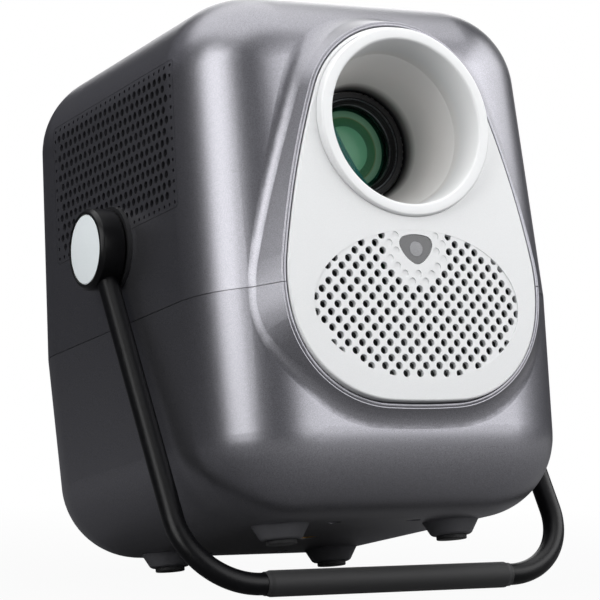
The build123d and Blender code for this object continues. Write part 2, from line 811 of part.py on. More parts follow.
def drive_case():
    top = DRIVE_Z + DRIVE_H
    outer = block(-DRIVE_HALF_W, DRIVE_HALF_W, drive_front(), DRIVE_BACK, DRIVE_Z, top)
    inner = block(-DRIVE_HALF_W + SHEET, DRIVE_HALF_W - SHEET, drive_front() + SHEET, DRIVE_BACK + 1,
                  DRIVE_Z + SHEET, top - SHEET)
    return outer - inner


def tray_bottom():
    return DRIVE_Z + SHEET + SLIP


def tray_end():
    return DRIVE_BACK + SLIP


def sled_way():
    """From the spindle, local -Y runs outward along the pickup's diagonal path."""
    return Pos(0, spindle_y(), tray_bottom()) * Rot(0, 0, -SLED_TURN)


def disc_tray():
    y1 = tray_end()
    y0 = y1 - TRAY_LEN
    z0 = tray_bottom()
    tray = block(-TRAY_HALF_W, TRAY_HALF_W, y0, y1, z0, z0 + TRAY_T)
    tray -= rod_z(DISC_R + 1, 0, spindle_y(), z0 + TRAY_T - 2.2, z0 + TRAY_T + 1)
    tray -= rod_z(21, 0, spindle_y(), z0 + TRAY_T - 2.8, z0 + TRAY_T + 1)
    tray -= rod_z(16.3, 0, spindle_y(), z0 - 1, z0 + TRAY_T)
    tray -= sled_way() * block(-SLED_BAY, SLED_BAY, -SLED_END, -SLED_START, -1, TRAY_T)
    for x in (-52, 52):
        tray -= block(x - 4, x + 4, spindle_y() - 20, spindle_y() + 20, z0 - 1, z0 + 3)
    return tray


def tray_bezel():
    window = block(-BEZEL_HALF_W, BEZEL_HALF_W, tray_end(), 130, BEZEL_Z0, BEZEL_Z1)
    solid = lower_block(0) & window
    solid -= rod_y(3.3, EJECT_X, DRIVE_BACK - 5, 130, (BEZEL_Z0 + BEZEL_Z1) / 2)
    solid -= rod_y(0.8, EJECT_X - 10, DRIVE_BACK - 5, 130, (BEZEL_Z0 + BEZEL_Z1) / 2)
    return solid


def eject_button():
    z = (BEZEL_Z0 + BEZEL_Z1) / 2
    face = back_at(z) - 0.35
    stem = rod_y(3.0, EJECT_X, DRIVE_BACK + 1.8, face, z)
    tip = stem.edges().filter_by(GeomType.CIRCLE).sort_by(Axis.Y)[-1]
    return chamfer(tip, 0.4)


def spindle_motor():
    z0 = tray_bottom()
    body = rod_z(16.2, 0, spindle_y(), z0 + 0.4, z0 + 2.4)
    return body + rod_z(3.5, 0, spindle_y(), z0 + 2.4, z0 + 3.2) - rod_z(1.5, 0, spindle_y(), z0 + 1.4, z0 + 9)


def disc_hub():
    z0 = tray_bottom()
    table = rod_z(14, 0, spindle_y(), z0 + 3.4, z0 + TRAY_T - 2.0)
    boss = rod_z(7.3, 0, spindle_y(), z0 + TRAY_T - 2.0, z0 + TRAY_T + 0.4)
    boss = chamfer(boss.edges().group_by(Axis.Z)[-1], 0.6)
    shaft = rod_z(1.5 - FIT, 0, spindle_y(), z0 + 1.6, z0 + 3.5)
    hub = table + boss + shaft
    for i in range(3):
        claw = Rot(0, 0, 120 * i) * block(6.0, 8.0, -1.2, 1.2, TRAY_T - 1.6, TRAY_T - 0.6)
        hub += Pos(0, spindle_y(), z0) * claw
    return hub


def guide_rods():
    rods = [rod_y(ROD_R, x, -SLED_END, -SLED_START, ROD_Z) for x in (-ROD_X, ROD_X)]
    return sled_way() * (Part() + rods)


def pickup_sled():
    near = -INNER_TRACK + 4
    far = -INNER_TRACK - 4
    sled = block(-13, 13, far - 1, near + 1, ROD_Z - 1.8, ROD_Z + 1.2)
    sled += both_sides(block(ROD_X - 5, ROD_X + 2.4, far, near, ROD_Z - 2.2, ROD_Z + 1.6))
    sled -= both_sides(rod_y(ROD_R + FIT, ROD_X, far - 2, near + 2, ROD_Z))
    return sled_way() * sled


def pickup_lens():
    return sled_way() * rod_z(3.2, 0, -INNER_TRACK, ROD_Z + 1.2, ROD_Z + 2.1)


# ---- inside -------------------------------------------------------------------------------------
def chassis():
    plate = extrude(body_section(CHASSIS_Z, WALL + 3), CHASSIS_T)
    plate &= block(-100, 100, -120, 86, CHASSIS_Z - 5, CHASSIS_Z + 5)
    places = [(-35, -60), (35, -60), (-35, -15), (35, -15), (-35, 80), (35, 80)]
    for x, y in places:
        plate += rod_z(2.6, x, y, CHASSIS_Z + CHASSIS_T, BOARD_Z)
    for x in (-72, 72):
        for y in (-45, 45):
            plate -= rod_z(1.6, x, y, CHASSIS_Z - 1, CHASSIS_Z + 3)
    return plate


def optics_bracket():
    low = CHASSIS_Z + CHASSIS_T
    high = LENS_Z - BOX_HALF_H
    solid = block(-BOX_HALF_W, BOX_HALF_W, -40, 58, high - 1.5, high)
    for side in (-1, 1):
        x = side * (BOX_HALF_W - 2)
        solid += block(x - 0.75, x + 0.75, -40, 58, low, high)
        foot = x + side * 6
        solid += block(min(x, foot), max(x, foot), -40, 58, low, low + 1.5)
    return solid - rod_z(14, 0, 10, high - 5, high + 5)


def board_part(x0, x1, y0, y1, height):
    z = BOARD_Z + BOARD_T
    return block(x0, x1, y0, y1, z, z + height)


def main_board():
    board = block(-39, 39, -20, 98, BOARD_Z, BOARD_Z + BOARD_T)
    board += board_part(-12, 12, 8, 32, 2.2)
    board += board_part(-30, -18, 10, 24, 1.4)
    board += board_part(18, 30, 10, 24, 1.4)
    board += board_part(-30, -22, 44, 52, 5.0)
    return board


def power_board():
    board = block(-39, 39, -64, -24, BOARD_Z, BOARD_Z + BOARD_T)
    board += board_part(-12, 14, -56, -34, 22)
    for x in (-30, -20):
        board += rod_z(4.2, x, -44, BOARD_Z + 1, BOARD_Z + 20)
    board += board_part(24, 32, -58, -30, 16)
    return board


def speaker_box():
    low = CHASSIS_Z + CHASSIS_T + 0.3
    front = FRONT_Y + WALL + 1.2
    outer = block(-54, 54, front, -67, low, low + 57)
    inner = block(-51.5, 51.5, front + 2.5, -69.5, low + 2.5, low + 54.5)
    box = outer - inner
    for side in (-1, 1):
        box -= rod_y(SPEAKER_R - 2, side * SPEAKER_X, front - 5, front + 5, low + 29)
    return box


def speaker_units():
    low = CHASSIS_Z + CHASSIS_T + 0.3
    front = FRONT_Y + WALL + 1.2
    points = [
        (0, front + 3),
        (7, front + 1.5),
        (9, front + 5),
        (18, front - 0.5),
        (20, front - 1.6),
        (SPEAKER_R, front - 1.6),
        (SPEAKER_R, front),
        (SPEAKER_R - 2.3, front),
        (11, front + 14),
        (14, front + 14),
        (14, front + 22),
        (0, front + 22),
    ]
    right = turned(points, low + 29, SPEAKER_X)
    return both_sides(right)


def optical_housing():
    z0 = LENS_Z - BOX_HALF_H
    z1 = LENS_Z + BOX_HALF_H
    outer = block(-BOX_HALF_W, BOX_HALF_W, HOLDER_BACK, BOX_BACK, z0, z1)
    w = BOX_WALL
    inner = block(-BOX_HALF_W + w, BOX_HALF_W - w, HOLDER_BACK + w, BOX_BACK - w, z0 + w, z1 - w)
    box = outer - inner
    box -= rod_y(BARREL_R, 0, HOLDER_BACK - 1, HOLDER_BACK + 5, LENS_Z)
    box -= block(-10, 10, BOX_BACK - 5, BOX_BACK + 1, LENS_Z - 10, LENS_Z + 10)
    return box


def full_plate(y, thick):
    """Plate that fills the optical housing from wall to wall."""
    w = BOX_HALF_W - BOX_WALL - 0.2
    h = BOX_HALF_H - BOX_WALL - 0.2
    return block(-w, w, y, y + thick, LENS_Z - h, LENS_Z + h)


def image_frame():
    return full_plate(-4, 4) - block(-42, 42, -5, 1, LENS_Z - 25, LENS_Z + 25)


def image_panel():
    return block(-42, 42, -3, -1.4, LENS_Z - 25, LENS_Z + 25)


def field_lens():
    return full_plate(-9.5, 2)


def condenser():
    return full_plate(12, 2.5)


def reflector():
    def mouth(y, half_w, half_h):
        return facing_front(y) * (Pos(0, LENS_Z) * Rectangle(2 * half_w, 2 * half_h))
    back = BOX_BACK - BOX_WALL
    outer = loft([mouth(15, 46.5, 34.5), mouth(back, 11.5, 11.5)], ruled=True)
    inner = loft([mouth(14.9, 45.3, 33.3), mouth(back + 0.1, 10.3, 10.3)], ruled=True)
    return outer - inner


def led_board():
    y = BOX_BACK
    board = block(-26, 26, y, y + LED_BOARD_T, LENS_Z - 26, LENS_Z + 26)
    chip = block(-7, 7, y - 1.4, y, LENS_Z - 7, LENS_Z + 7)
    return board + chip


def heat_sink():
    y0 = BOX_BACK + LED_BOARD_T
    y1 = y0 + SINK_BASE
    sink = block(-36, 36, y0, y1, LENS_Z - 36, LENS_Z + 36)
    fins = 13
    for i in range(fins):
        x = -35.2 + 70.4 * i / (fins - 1)
        sink += block(x - 0.8, x + 0.8, y1 - 0.5, y1 + SINK_FINS, LENS_Z - 36, LENS_Z + 36)
    return sink


def fan_y0():
    return BOX_BACK + LED_BOARD_T + SINK_BASE + SINK_FINS + 0.3


def fan_frame():
    y0 = fan_y0()
    y1 = y0 + FAN_T
    body = block(-FAN_HALF, FAN_HALF, y0, y1, LENS_Z - FAN_HALF, LENS_Z + FAN_HALF)
    body -= rod_y(FAN_R + 1.2, 0, y0 - 1, y1 + 1, LENS_Z)
    hub = rod_y(13, 0, y0, y0 + 2.5, LENS_Z) - rod_y(2 + FIT, 0, y0 - 1, y0 + 5, LENS_Z)
    body += hub
    for i in range(4):
        arm = Rot(0, 45 + 90 * i, 0) * block(11, FAN_R + 4, 0, 2.0, -1.6, 1.6)
        body += Pos(0, y0, LENS_Z) * arm
    for x in (-31, 31):
        for z in (-31, 31):
            body -= rod_y(1.9, x, y0 - 1, y1 + 1, LENS_Z + z)
    return body


def fan_rotor():
    y0 = fan_y0()
    hub = rod_y(14, 0, y0 + 2.9, y0 + FAN_T - 1.2, LENS_Z)
    rim = hub.edges().filter_by(GeomType.CIRCLE).sort_by(Axis.Y)[-1]
    rotor = fillet(rim, 1.2)
    rotor += rod_y(2, 0, y0 + 0.4, y0 + 4, LENS_Z)
    blade = block(12, FAN_R, -0.7, 0.7, -5.2, 5.2)
    for i in range(7):
        tilted = Rot(0, i * 360 / 7, 0) * Rot(42, 0, 0) * blade
        rotor += Pos(0, y0 + (FAN_T + 1.7) / 2, LENS_Z) * tilted
    return rotor


# ---- back panel ---------------------------------------------------------------------------------
def port_face():
    return back_at(PORT_Z0) - 1.4


def port_plate():
    y1 = port_face()
    solid = block(-PORT_HALF_W + 0.1, PORT_HALF_W - 0.1, y1 - 1.8, y1, PORT_Z0 + 0.1, PORT_Z1 - 0.1)
    z = BOARD_Z + BOARD_T
    solid -= block(-26.2, -10.8, 80, 130, z - 0.2, z + 6.2)
    solid -= block(-7.2, 8.2, 80, 130, z - 0.2, z + 6.2)
    solid -= block(13.8, 28.2, 80, 130, z - 0.2, z + 15.2)
    solid -= rod_y(3.6, 34.5, 80, 130, z + 3.4)
    solid -= rod_y(BUTTON_R + 0.3, BUTTON_X, 80, 130, BUTTON_Z)
    solid -= block(-31.2, -8.8, 80, 130, 73.8, 86.2)
    solid -= rod_y(1.8, 26, 80, 130, 84)
    return solid


def sockets():
    z = BOARD_Z + BOARD_T
    y1 = port_face() + 0.2
    y0 = 88.0
    shells = []
    for x in (-18.5, 0.5):
        body = block(x - 7.5, x + 7.5, y0, y1, z, z + 6)
        body -= block(x - 7.0, x + 7.0, y1 - 9, y1 + 1, z + 0.7, z + 5.3)
        body += block(x - 5.5, x + 5.5, y1 - 10, y1 - 1.5, z + 2.4, z + 3.4)
        shells.append(body)
    body = block(14, 28, y0, y1, z, z + 15)
    for low in (0.8, 8.4):
        body -= block(14.6, 27.4, y1 - 10, y1 + 1, z + low, z + low + 5.8)
        body += block(15.5, 26.5, y1 - 11, y1 - 1.5, z + low + 3.4, z + low + 5.0)
    shells.append(body)
    jack = block(31, 38, y0, y1 - 3, z, z + 6.8) + rod_y(3.4, 34.5, y1 - 4, y1, z + 3.4)
    jack -= rod_y(1.8, 34.5, y1 - 12, y1 + 1, z + 3.4)
    shells.append(jack)
    return Part() + shells


def mains_inlet():
    y1 = port_face() + 0.3
    flange = block(-31, -9, y1 - 16, y1, 74, 86)
    left = rod_y(4.4, -23.8, y1 - 9, y1 + 1, 80)
    right = rod_y(4.4, -16.2, y1 - 9, y1 + 1, 80)
    flange -= left + right + block(-23.8, -16.2, y1 - 9, y1 + 1, 76.2, 83.8)
    for x in (-23.8, -16.2):
        flange += rod_y(1.2, x, y1 - 10, y1 - 1.5, 80)
    return flange


def power_button():
    y1 = port_face() + 0.8
    stem = rod_y(BUTTON_R, BUTTON_X, y1 - 5.5, y1, BUTTON_Z)
    tip = stem.edges().filter_by(GeomType.CIRCLE).sort_by(Axis.Y)[-1]
    return fillet(tip, 0.6)


def button_switch():
    y1 = port_face() + 0.8 - 5.5 - 1.6
    body = block(BUTTON_X - 6, BUTTON_X + 6, y1 - 4, y1, BUTTON_Z - 6, BUTTON_Z + 6)
    for x in (-8, 8):
        arm = block(BUTTON_X + x - 1, BUTTON_X + x + 1, y1 - 4, port_face() - 1.8, BUTTON_Z - 3, BUTTON_Z + 3)
        body += arm
    body += block(BUTTON_X - 8, BUTTON_X + 8, y1 - 4, y1 - 2, BUTTON_Z - 3, BUTTON_Z + 3)
    return body


def remote_window():
    return rod_y(1.7, 26, port_face() - 3.2, port_face() + 0.1, 84)


# ---- stand pose ---------------------------------------------------------------------------------
def stand_tilt():
    """Tilt that brings the grip and the rear pads down to one floor."""
    bar_y = HUB_Y - REACH * sin(radians(BAIL_LEAN))
    bar_z = HUB_Z - REACH * cos(radians(BAIL_LEAN))
    pad_y = FOOT_Y + PAD_R - PAD_CHAMFER
    pad_z = -FOOT_H - PAD_PROUD
    across = pad_y - bar_y
    down = bar_z - pad_z
    tilt = asin(GRIP_R / hypot(across, down)) - atan2(down, across)
    return Rot(-degrees(tilt), 0, 0)


def floor_centre(shapes):
    """Move that puts the origin on the floor, under the middle of the whole object."""
    boxes = [shape.bounding_box() for shape in shapes]
    middle_x = (min(box.min.X for box in boxes) + max(box.max.X for box in boxes)) / 2
    middle_y = (min(box.min.Y for box in boxes) + max(box.max.Y for box in boxes)) / 2
    return Pos(-middle_x, -middle_y, -min(box.min.Z for box in boxes))


def all_pieces():
    pieces = {}
    pieces["upper_shell"] = upper_shell()
    pieces["lower_shell"] = lower_shell()
    pieces["front_panel"] = front_panel()
    pieces["sensor_window"] = sensor_window()
    pieces["sensor_module"] = sensor_module()
    pieces["sensor_lens"] = sensor_lens()
    pieces["lens_collar"] = lens_collar()
    pieces["lens_holder"] = lens_holder()
    pieces["lens_barrel"] = lens_barrel()
    pieces["front_glass"] = front_glass()
    pieces["rear_glass"] = rear_glass()
    rings = retaining_rings()
    pieces["lens_ring_outer"] = rings[0]
    pieces["lens_ring_inner"] = rings[1]
    pieces["focus_ring"] = focus_ring()
    pieces["focus_pinion"] = focus_pinion()
    pieces["focus_motor"] = focus_motor()
    vent = side_vent()
    pieces["side_vent_right"] = vent
    pieces["side_vent_left"] = mirror(vent, about=Plane.YZ)
    pieces["rear_vent"] = rear_vent()
    pieces["hub_washers"] = hub_washers()
    pieces["pivot_pins"] = pivot_pins()
    pieces["bail_tube"] = bail_tube()
    pieces["grip_sleeve"] = grip_sleeve()
    pieces["hub_cups"] = hub_cups()
    pieces["hub_caps"] = hub_caps()
    pieces["foot_cups"] = foot_cups()
    pieces["foot_pads"] = foot_pads()
    pieces["tripod_insert"] = tripod_insert()
    pieces["case_screws"] = case_screws()
    pieces["drive_case"] = drive_case()
    pieces["disc_tray"] = disc_tray()
    pieces["tray_bezel"] = tray_bezel()
    pieces["eject_button"] = eject_button()
    pieces["spindle_motor"] = spindle_motor()
    pieces["disc_hub"] = disc_hub()
    pieces["guide_rods"] = guide_rods()
    pieces["pickup_sled"] = pickup_sled()
    pieces["pickup_lens"] = pickup_lens()
    pieces["chassis"] = chassis()
    pieces["optics_bracket"] = optics_bracket()
    pieces["main_board"] = main_board()
    pieces["power_board"] = power_board()
    pieces["speaker_box"] = speaker_box()
    pieces["speaker_units"] = speaker_units()
    pieces["optical_housing"] = optical_housing()
    pieces["image_frame"] = image_frame()
    pieces["image_panel"] = image_panel()
    pieces["field_lens"] = field_lens()
    pieces["condenser"] = condenser()
    pieces["reflector"] = reflector()
    pieces["led_board"] = led_board()
    pieces["heat_sink"] = heat_sink()
    pieces["fan_frame"] = fan_frame()
    pieces["fan_rotor"] = fan_rotor()
    pieces["port_plate"] = port_plate()
    pieces["sockets"] = sockets()
    pieces["mains_inlet"] = mains_inlet()
    pieces["power_button"] = power_button()
    pieces["button_switch"] = button_switch()
    pieces["remote_window"] = remote_window()
    return pieces


def main():
    os.makedirs("parts", exist_ok=True)
    tilt = stand_tilt()
    tilted = {name: tilt * shape for name, shape in all_pieces().items()}
    outermost = ["front_panel", "lens_collar", "upper_shell", "lower_shell", "grip_sleeve", "foot_pads"]
    settle = floor_centre([tilted[name] for name in outermost])
    for name, shape in tilted.items():
        export_step(settle * shape, "parts/" + name + ".step")


main()
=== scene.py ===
# %% [markdown]
# # Dressing a lens-and-disc player that leans back on its bail
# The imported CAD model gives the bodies, joints and true sizes. This lesson keeps every CAD solid whose
# shape is already right and gives it a finish, and remodels the turned and bent pieces, whose rounded edges
# catch the light: the lens collar, the lens, the bail with its hubs and grip, the feet and the keys.

# %% Load the frame
from math import cos, pi, radians, sin

import bmesh
import bpy
from mathutils import Matrix, Vector


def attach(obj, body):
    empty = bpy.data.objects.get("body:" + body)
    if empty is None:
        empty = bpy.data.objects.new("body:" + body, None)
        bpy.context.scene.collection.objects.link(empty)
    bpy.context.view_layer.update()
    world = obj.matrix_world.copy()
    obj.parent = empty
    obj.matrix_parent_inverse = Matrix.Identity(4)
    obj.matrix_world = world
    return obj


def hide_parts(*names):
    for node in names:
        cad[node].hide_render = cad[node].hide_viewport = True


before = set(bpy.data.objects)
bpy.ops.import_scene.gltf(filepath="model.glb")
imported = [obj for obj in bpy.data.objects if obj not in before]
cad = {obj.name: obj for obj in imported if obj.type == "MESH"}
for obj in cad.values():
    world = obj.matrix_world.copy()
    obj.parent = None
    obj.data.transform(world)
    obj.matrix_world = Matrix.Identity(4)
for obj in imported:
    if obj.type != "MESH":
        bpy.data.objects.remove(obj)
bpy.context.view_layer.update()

# %% [markdown]
# Sizes are written in millimetres and upright, as on a drawing of the standing case: x to the right of
# someone who faces the lens, y towards the back, z up from the underside. One matrix then tips the finished
# mesh back on its bail, so a piece can be checked against the drawing. Turning the object instead would
# slide its pattern.

# %% From the upright drawing to the leaning pose
LEAN_BACK = radians(10.072860767)
SEAT = Matrix.Translation((0, -0.016496617523, 0.018980908273)) @ Matrix.Rotation(-LEAN_BACK, 4, "X")
UPRIGHT = SEAT.inverted()
LENS_Z = 166.0
MOUTH_Y, THROAT_Y = -118.0, -72.0
HUB_Y, HUB_Z = -2.0, 131.2
BAIL_LEAN = radians(23.6)


def mm(*values):
    """Millimetres on the drawing, as a Blender vector in metres."""
    return Vector([value / 1000 for value in values])


print("lens mouth sits at", [round(v, 4) for v in SEAT @ mm(0, MOUTH_Y, LENS_Z)])

# %% [markdown]
# ## The camera
# The long lens stands a little to the left of the object and looks slightly upward. Place, direction and
# roll come from fitting the outline of the drawing to the picture; nothing is shifted.

# %% Camera
CAMERA_AT = mm(-618.604, -1140.210, 105.050)
FORWARD = Vector((0.47966791, 0.87728036, 0.01725868)).normalized()
ROLL = radians(-0.35738)
level = FORWARD.cross(Vector((0, 0, 1))).normalized()
right = Matrix.Rotation(ROLL, 3, FORWARD) @ level
upward = right.cross(FORWARD)
lens = bpy.data.cameras.new("photo_camera")
lens.lens = 168.782
lens.sensor_width = 36.0
lens.clip_end = 50.0
camera = bpy.data.objects.new("photo_camera", lens)
turn = Matrix((right, upward, -FORWARD)).transposed().to_4x4()
camera.matrix_world = Matrix.Translation(CAMERA_AT) @ turn
bpy.context.scene.collection.objects.link(camera)
bpy.context.scene.camera = camera
print("camera", [round(v, 3) for v in camera.location], "lens", lens.lens)

# %% [markdown]
# ## Small helpers
# One function turns a screen colour into linear light. One adds a node of any kind: it sets the node's own
# options, fills its sockets with values or links, and places the stops of a colour ramp.

# %% Material helpers
def screen(colour):
    """'#rrggbb' as it looks on screen, in linear light."""
    parts = [int(colour[i:i + 2], 16) / 255 for i in (1, 3, 5)]
    return [p / 12.92 if p <= 0.04045 else ((p + 0.055) / 1.055) ** 2.4 for p in parts] + [1.0]


def add(tree, kind, sockets=None, stops=(), **settings):
    """One node with its settings; a socket gets a value, or a link where an output is given."""
    node = tree.nodes.new("ShaderNode" + kind)
    for key, value in settings.items():
        setattr(node, key, value)
    for key, value in (sockets or {}).items():
        if isinstance(value, bpy.types.NodeSocket):
            tree.links.new(value, node.inputs[key])
        else:
            node.inputs[key].default_value = value
    for number, (place, colour) in enumerate(stops):
        band = node.color_ramp.elements
        element = band[number] if number < 2 else band.new(1.0)
        element.position, element.color = place, screen(colour)
    return node


print("a screen grey of #808080 is", round(screen("#808080")[0], 3), "in linear light")


# %% [markdown]
# Most finishes here are one colour that drifts a little: sprayed, moulded or turned surfaces are never
# even. So one recipe serves them all. A cloud of noise, as big as the real grain or as coarse as it must be
# to show, shifts the colour between two tones, the gloss between two values and the height by a few
# microns. Where a pattern gives the colour instead, the recipe gets no tones and the pattern is linked
# afterwards.

# %% One recipe for a drifting finish
def finish(name, grain, tones, gloss, relief, plain=None, stretch=(1, 1, 1)):
    """A finish whose grain, in millimetres, moves its colour, roughness and height a little."""
    material = bpy.data.materials.new(name)
    material.use_nodes = True
    tree = material.node_tree
    shader = tree.nodes["Principled BSDF"]
    for key, value in (plain or {}).items():
        shader.inputs[key].default_value = value
    where = add(tree, "TexCoord")
    steps = [1000 / (grain * longer) for longer in stretch]
    placed = add(tree, "Mapping", {"Vector": where.outputs["Object"], "Scale": steps})
    cloud = add(tree, "TexNoise", {"Vector": placed.outputs["Vector"], "Scale": 1.0, "Detail": 3.0})
    drift = add(tree, "MapRange", {"Value": cloud.outputs["Fac"], "From Min": 0.3, "From Max": 0.7})
    shine = add(tree, "MapRange", {"Value": drift.outputs["Result"], "To Min": gloss[0], "To Max": gloss[1]})
    bump = add(tree, "Bump", {"Height": cloud.outputs["Fac"], "Strength": 0.5, "Distance": relief / 1000})
    tree.links.new(shine.outputs["Result"], shader.inputs["Roughness"])
    tree.links.new(bump.outputs["Normal"], shader.inputs["Normal"])
    if tones:
        colour = add(tree, "Mix", {0: drift.outputs["Result"], 6: screen(tones[0]), 7: screen(tones[1])},
                     data_type="RGBA")
        coloured_by(material, colour.outputs[2])
    return material


def coloured_by(material, pattern):
    """Links a node's output to the finish's colour."""
    tree = material.node_tree
    tree.links.new(pattern, tree.nodes["Principled BSDF"].inputs["Base Color"])


# %% [markdown]
# ## Finishes of the outside
# The case is sprayed with a gunmetal paint full of aluminium flakes under a satin clear coat. The flakes
# are 0.05 mm, too fine to show, so they are drawn at 0.3 mm: up close the paint sparkles, and from afar it
# changes with its angle to the light. The panel is moulded ABS with a fine spark grain, which gives it a
# soft white.

# %% Paint, panel and blacks
paint = finish("gunmetal_flake_paint_sprayed", 0.3, ("#6d6c71", "#95959a"), (0.30, 0.38), 0.006,
               {"Metallic": 0.94})
# Spark grain of about 0.1 mm, drawn at 0.4 mm: the white stays soft, with no clear mirror image in it.
panel_white = finish("white_abs_moulded_fine_grain", 0.4, ("#dfe0e0", "#e4e5e5"), (0.40, 0.46), 0.008)
# Moulded nylon, polished mould: a deep black with one clear soft highlight.
hub_black = finish("black_nylon_moulded_semi_gloss", 0.3, ("#050506", "#0a0a0b"), (0.28, 0.34), 0.004,
                   {"Specular IOR Level": 0.2})
# Stoved enamel on steel flows before it sets, so it has a slow orange peel of 2 to 3 mm and a smooth sheen.
enamel = finish("black_stoved_enamel_on_steel_tube", 2.5, ("#060607", "#0a0a0c"), (0.32, 0.37), 0.006,
                {"Specular IOR Level": 0.2})
# Soft moulded rubber scatters light, so it is the dullest black; its grain is drawn at 0.25 mm.
rubber = finish("black_rubber_moulded_matt", 0.25, ("#0f0f10", "#1a1a1b"), (0.62, 0.76), 0.020,
                {"Sheen Weight": 0.12, "Sheen Roughness": 0.5})
# Spark-textured ABS: dark grey and dull, with a faint even grain.
foot_grey = finish("charcoal_abs_spark_textured", 0.3, ("#525255", "#5c5c5f"), (0.50, 0.60), 0.012)
black_plastic = finish("black_abs_spark_textured", 0.3, ("#0e0e10", "#161618"), (0.50, 0.60), 0.012)
# Flat black lacquer inside a lens swallows stray light.
barrel_black = finish("black_flocked_lacquer_barrel", 0.3, ("#050506", "#0a0a0b"), (0.45, 0.55), 0.004,
                      {"Specular IOR Level": 0.25})
# Satin lacquer on a moulded disc: pale grey-green, with a broad soft highlight.
cap_lacquer = finish("pale_grey_green_satin_lacquer", 0.5, ("#e6edee", "#eef3f4"), (0.36, 0.44), 0.004,
                     {"Coat Weight": 0.15, "Coat Roughness": 0.2})
# Smoked polycarbonate with a polished face: dark grey, with a sharp thin reflection over it.
smoked = finish("smoked_polycarbonate_polished", 0.6, ("#303133", "#38393b"), (0.16, 0.22), 0.001,
                {"Coat Weight": 0.3, "Coat Roughness": 0.05})
eye_grey = finish("grey_acrylic_moulded_eye", 0.6, ("#6c6d70", "#78797c"), (0.15, 0.20), 0.001,
                  {"Coat Weight": 0.4})
print("finishes of the outside:", len(bpy.data.materials))

# %% [markdown]
# ## Finishes of metal and of the inside
# Bare metal keeps the lines of the tool that made it, so its grain is stretched along them: round a turned
# ring, along an extrusion or a ground rod. Real lines are about 0.05 mm apart and are drawn at 0.3 mm.

# %% Metals and inner plastics
METAL = {"Metallic": 1.0}
bright_ring = finish("grey_anodised_aluminium_turned", 0.3, ("#3c3e40", "#525557"), (0.24, 0.34), 0.004,
                     METAL, (1, 1, 6))
aluminium = finish("aluminium_extruded", 0.4, ("#9fa2a5", "#bcc0c3"), (0.30, 0.42), 0.006, METAL, (1, 1, 12))
# Rolled and zinc-plated sheet: cool grey, with a soft drift along the rolling.
sheet_steel = finish("zinc_plated_sheet_steel_rolled", 1.2, ("#8b8f92", "#a9adb0"), (0.33, 0.46), 0.004,
                     METAL, (8, 1, 1))
# Ground rods and pressed cans: brighter, with a tighter highlight.
rod_steel = finish("steel_ground", 0.3, ("#94979a", "#b9bcbf"), (0.16, 0.28), 0.004, METAL, (1, 9, 1))
brass = finish("brass_turned_knurled", 0.3, ("#a88544", "#c9a75e"), (0.28, 0.40), 0.006, METAL, (1, 1, 8))
screw_steel = finish("black_zinc_plated_steel_headed", 0.3, ("#1d1d20", "#34343a"), (0.30, 0.42), 0.004,
                     METAL)
# Pressed paper pulp: matt, fibrous and uneven.
paper_cone = finish("black_paper_pulp_pressed", 0.7, ("#141414", "#262626"), (0.70, 0.85), 0.04)
# Acetal is a waxy white with a low sheen.
acetal = finish("white_acetal_moulded", 2.0, ("#d9d8d2", "#e3e2dc"), (0.34, 0.42), 0.006)
grey_plastic = finish("grey_abs_moulded_matt", 0.4, ("#4a4b4f", "#54555a"), (0.45, 0.56), 0.010)
# Optical glass is clear; a trace of haze softens what is seen through it.
clear_glass = finish("optical_glass_polished", 15.0, ("#f0f5f3", "#f5f9f7"), (0.02, 0.04), 0.0,
                     {"Transmission Weight": 1.0, "IOR": 1.52})
# Magnesium fluoride coating: the front glass hardly mirrors, so its index is set low, and its tint is green.
coated_glass = finish("optical_glass_green_coated", 20.0, ("#d4eadc", "#dcf0e4"), (0.03, 0.05), 0.0,
                      {"Transmission Weight": 1.0, "IOR": 1.18, "Specular IOR Level": 0.3})
print("with metals and inner plastics:", len(bpy.data.materials))

# %% [markdown]
# The circuit boards show copper tracks under green lacquer: a brick pattern in millimetres gives straight
# tracks of about 0.2 mm. The liquid-crystal panel is a fine square grid of cells; the real cells of 0.05 mm
# can't show, so they are drawn at 0.4 mm.

# %% Circuit board and liquid-crystal panel
LACQUER, TRACK = ("#0d4a2a", "#0f5230"), "#2c7a45"
BRICKS_PER_METRE, CELLS_PER_METRE = [333] * 3, [2500] * 3
board_green = finish("circuit_board_green_lacquer", 3.0, None, (0.26, 0.34), 0.01, {"Coat Weight": 0.3})
tree = board_green.node_tree
spot = add(tree, "Mapping", {"Vector": add(tree, "TexCoord").outputs["Object"], "Scale": BRICKS_PER_METRE})
tracks = add(tree, "TexBrick", {"Vector": spot.outputs["Vector"], "Scale": 1.0, "Mortar Size": 0.06,
                                "Brick Width": 1.7, "Row Height": 0.42, "Color1": screen(LACQUER[0]),
                                "Color2": screen(LACQUER[1]), "Mortar": screen(TRACK)})
coloured_by(board_green, tracks.outputs["Color"])

dark_panel = finish("liquid_crystal_panel_glass", 5.0, None, (0.16, 0.22), 0.0, {"Coat Weight": 0.5})
tree = dark_panel.node_tree
spot = add(tree, "Mapping", {"Vector": add(tree, "TexCoord").outputs["Object"], "Scale": CELLS_PER_METRE})
cells = add(tree, "TexVoronoi", {"Vector": spot.outputs["Vector"], "Scale": 1.0, "Randomness": 0.0},
            distance="CHEBYCHEV")
shade = add(tree, "ValToRGB", {"Fac": cells.outputs["Distance"]}, [(0.2, "#15171b"), (0.5, "#0a0b0d")])
coloured_by(dark_panel, shade.outputs["Color"])
print("patterned finishes:", board_green.name, dark_panel.name)
